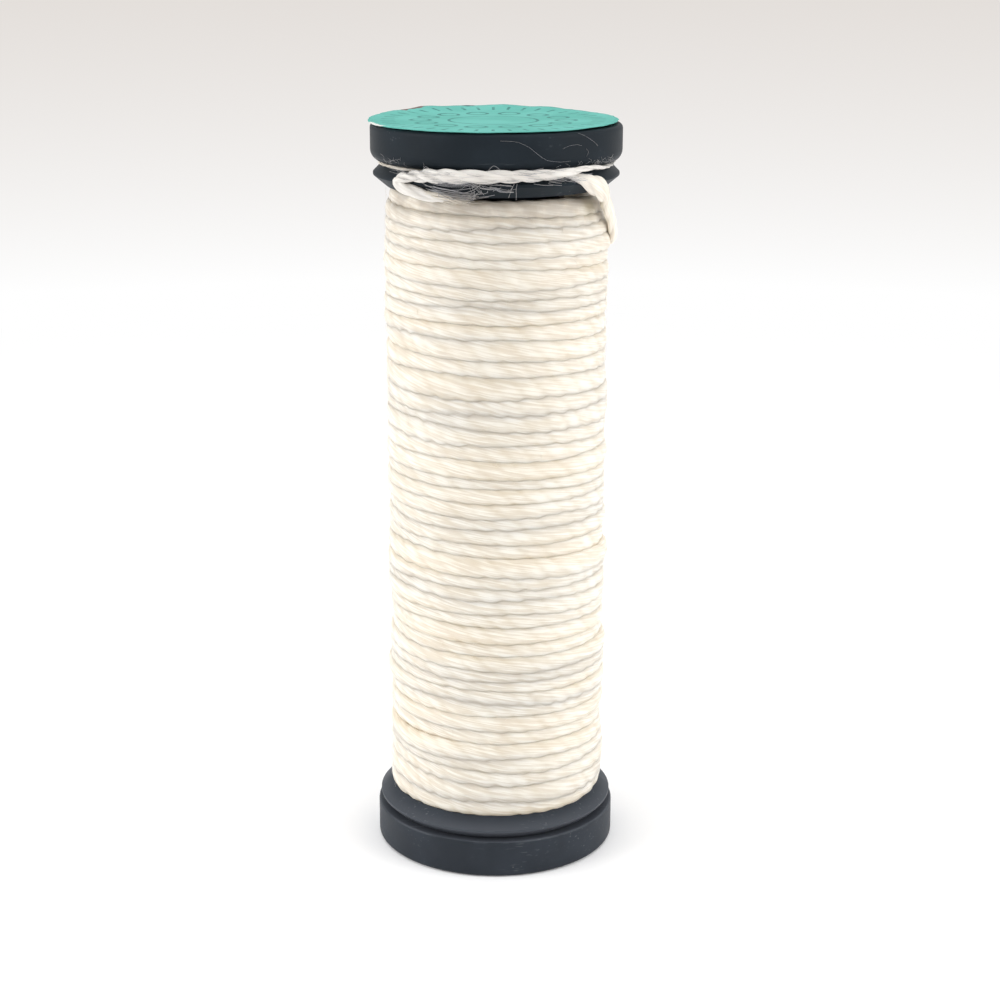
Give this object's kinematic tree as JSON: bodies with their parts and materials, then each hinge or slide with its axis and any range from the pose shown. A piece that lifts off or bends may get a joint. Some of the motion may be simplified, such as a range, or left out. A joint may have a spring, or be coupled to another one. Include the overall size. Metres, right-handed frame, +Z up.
{
  "type": "thread spool",
  "caption": "Small embroidery thread spool with slide-out snap caps, sloped lips that pinch the loose end, and a full winding of twisted silk thread.",
  "frame": {"origin": "centre of the outer face of the bottom cap, on which the spool stands", "axes": "+Z up along the spool's axis, -Y towards the viewer, +X to the viewer's right, where the thread end climbs to the top groove"},
  "size_m": [0.0164, 0.0168, 0.05],
  "materials": {
    "black_plastic": "matte",
    "label_paper": "matte",
    "silk_thread": "satin"
  },
  "bodies": {
    "spool": {"core_tube": "black_plastic", "bottom_lip": "black_plastic", "top_lip": "black_plastic", "inner_winding": "silk_thread", "outer_winding": "silk_thread", "locked_thread": "silk_thread"},
    "top_cap": {"top_cap": "black_plastic", "top_label": "label_paper"},
    "bottom_cap": {"bottom_cap": "black_plastic"}
  },
  "joints": [
    {"name": "top_cap_slide", "type": "slide", "parent": "spool", "child": "top_cap", "axis": [0, 0, 1], "range_m": [0, 0.0012]},
    {"name": "bottom_cap_slide", "type": "slide", "parent": "spool", "child": "bottom_cap", "axis": [0, 0, -1], "range_m": [0, 0.0012]}
  ]
}
